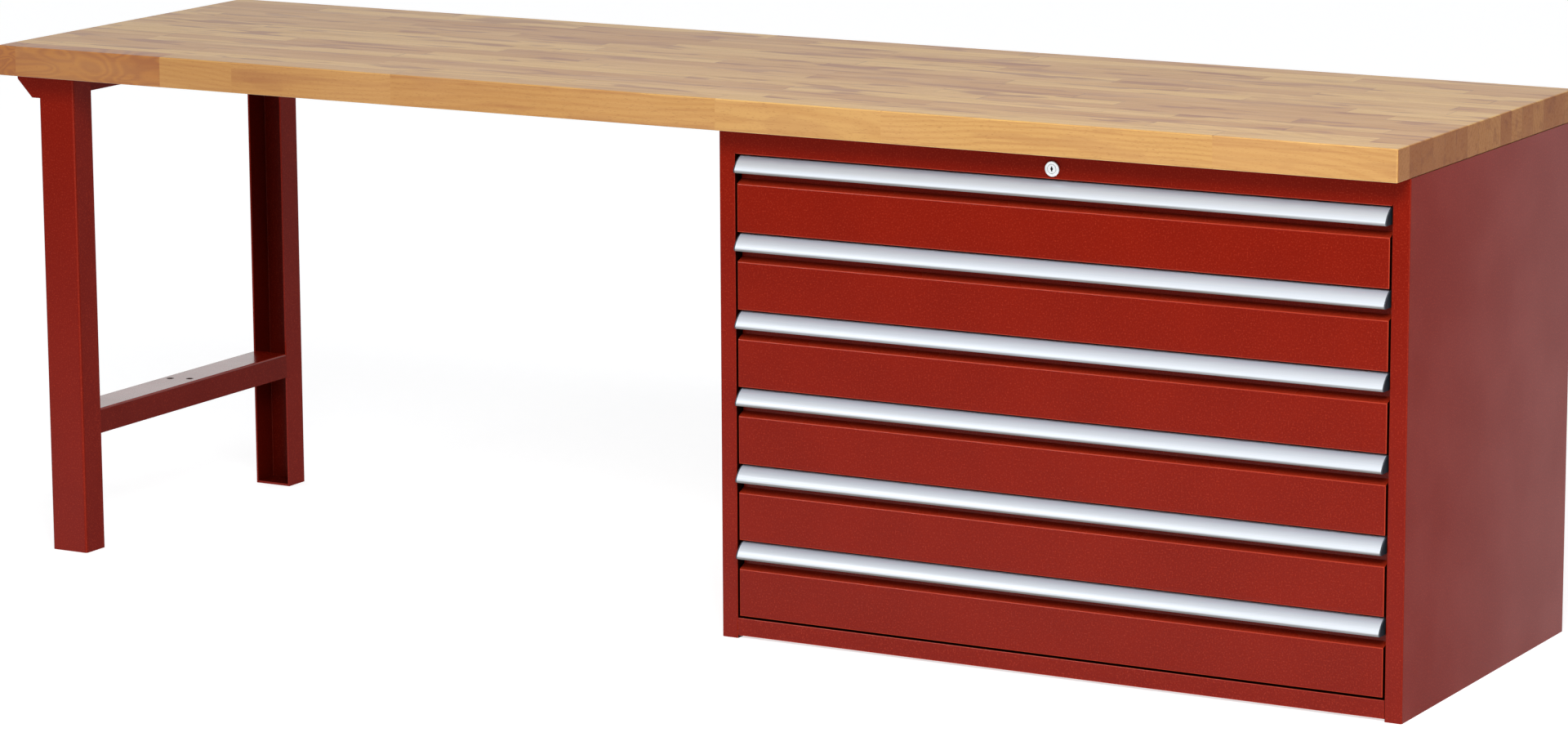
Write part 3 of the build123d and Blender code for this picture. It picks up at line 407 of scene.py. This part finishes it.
finishes = {
    "beech_wood": beech(),
    "red_powder_coat": powder_coat(
        "red_powder_coat",
        base=(0.168, 0.0052, 0.0004),
        deep=(0.153, 0.0044, 0.0003),
        # lighter speck colour, also painted on the bends as a highlight
        speck_and_highlight=(0.62, 0.068, 0.028),
        roughness=0.42,
        specular=0.05,
        shaded=True,
    ),
    "grey_powder_coat": powder_coat(
        "grey_powder_coat",
        base=(0.46, 0.47, 0.47),
        deep=(0.43, 0.44, 0.445),
        # lighter speck colour, also painted on the bends as a highlight
        speck_and_highlight=(0.56, 0.565, 0.57),
        roughness=0.45,
        specular=0.4,
        shaded=False,
    ),
    "anodised_grip": anodised(),
    "dark_plastic": moulded_plastic(),
    "galvanised_steel": zinc(),
    "polished_lock": nickel(),
}

for piece in nodes.values():
    for slot in piece.material_slots:
        slot.material = finishes[slot.material.name.split(".")[0]]

# ---------------------------------------------------------------- stage, light and camera


def floor():
    """A plain pale floor. Its own emission makes part of its brightness."""
    reach = 60.0
    corners = [(-reach, -reach, 0.0), (reach, -reach, 0.0), (reach, reach, 0.0)]
    corners.append((-reach, reach, 0.0))
    mesh = bpy.data.meshes.new("floor")
    mesh.from_pydata(corners, [], [(0, 1, 2, 3)])
    made = bpy.data.objects.new("floor", mesh)
    bpy.context.scene.collection.objects.link(made)
    paper = Finish("floor_paper", Roughness=0.9, Specular_IOR_Level=0.1, Emission_Strength=0.68)
    grain = paper.remap(paper.noise((30.0, 30.0, 30.0), detail=3.0), 0.3, 0.7)
    paper.set("Base Color", paper.mix(grain, (0.56, 0.56, 0.56), (0.54, 0.54, 0.54)))
    paper.set("Emission Color", (1.0, 1.0, 1.0))
    mesh.materials.append(paper.material)


def softbox(name, at, towards, width, height, power):
    lamp = bpy.data.lights.new(name, "AREA")
    lamp.shape = "RECTANGLE"
    lamp.size, lamp.size_y = width, height
    lamp.energy = power
    made = bpy.data.objects.new(name, lamp)
    made.location = at
    made.rotation_mode = "QUATERNION"
    made.rotation_quaternion = (Vector(towards) - Vector(at)).to_track_quat("-Z", "Y")
    bpy.context.scene.collection.objects.link(made)


def room():
    """Studio walls: bright near the floor line, dimmer and cooler towards the ceiling."""
    world = bpy.data.worlds.new("room")
    world.use_nodes = True
    tree = world.node_tree
    place = tree.nodes.new("ShaderNodeTexCoord")
    parts = tree.nodes.new("ShaderNodeSeparateXYZ")
    height = tree.nodes.new("ShaderNodeMapRange")
    shade = tree.nodes.new("ShaderNodeMix")
    shade.data_type = "RGBA"
    height.inputs["From Min"].default_value = 0.10
    height.inputs["From Max"].default_value = 0.85
    shade.inputs["A"].default_value = (1.00, 1.00, 0.99, 1.0)
    shade.inputs["B"].default_value = (0.34, 0.35, 0.37, 1.0)
    tree.links.new(place.outputs["Generated"], parts.inputs[0])
    tree.links.new(parts.outputs[2], height.inputs["Value"])
    tree.links.new(height.outputs["Result"], shade.inputs["Factor"])
    tree.links.new(shade.outputs["Result"], tree.nodes["Background"].inputs["Color"])
    bpy.context.scene.world = world


floor()
room()
softbox("key", (2.0, -3.3, 3.1), (0.7, -0.3, 0.4), 2.2, 1.5, 158.0)
softbox("fill", (-1.7, -3.2, 3.4), (0.3, -0.3, 0.5), 1.3, 0.26, 13.0)

lens = bpy.data.cameras.new("camera")
lens.sensor_fit = "HORIZONTAL"
lens.sensor_width = 36.0
lens.lens = 122.23
lens.clip_end = 200.0
camera = bpy.data.objects.new("camera", lens)
bpy.context.scene.collection.objects.link(camera)

# The camera stands to the front right of the bench and looks slightly down.
station = Vector((4.171, -7.346, 2.007))
yaw, pitch, roll = 0.5118, 0.1917, -0.0052
level = math.cos(pitch)
forward = Vector((-math.sin(yaw) * level, math.cos(yaw) * level, -math.sin(pitch)))
flat_right = forward.cross(Vector((0.0, 0.0, 1.0))).normalized()
flat_up = flat_right.cross(forward)
right = math.cos(roll) * flat_right + math.sin(roll) * flat_up
up = math.cos(roll) * flat_up - math.sin(roll) * flat_right
turn = Matrix((right, up, -forward)).transposed().to_4x4()
camera.matrix_world = Matrix.Translation(station) @ turn
bpy.context.scene.camera = camera
bpy.context.scene.view_settings.view_transform = "Standard"
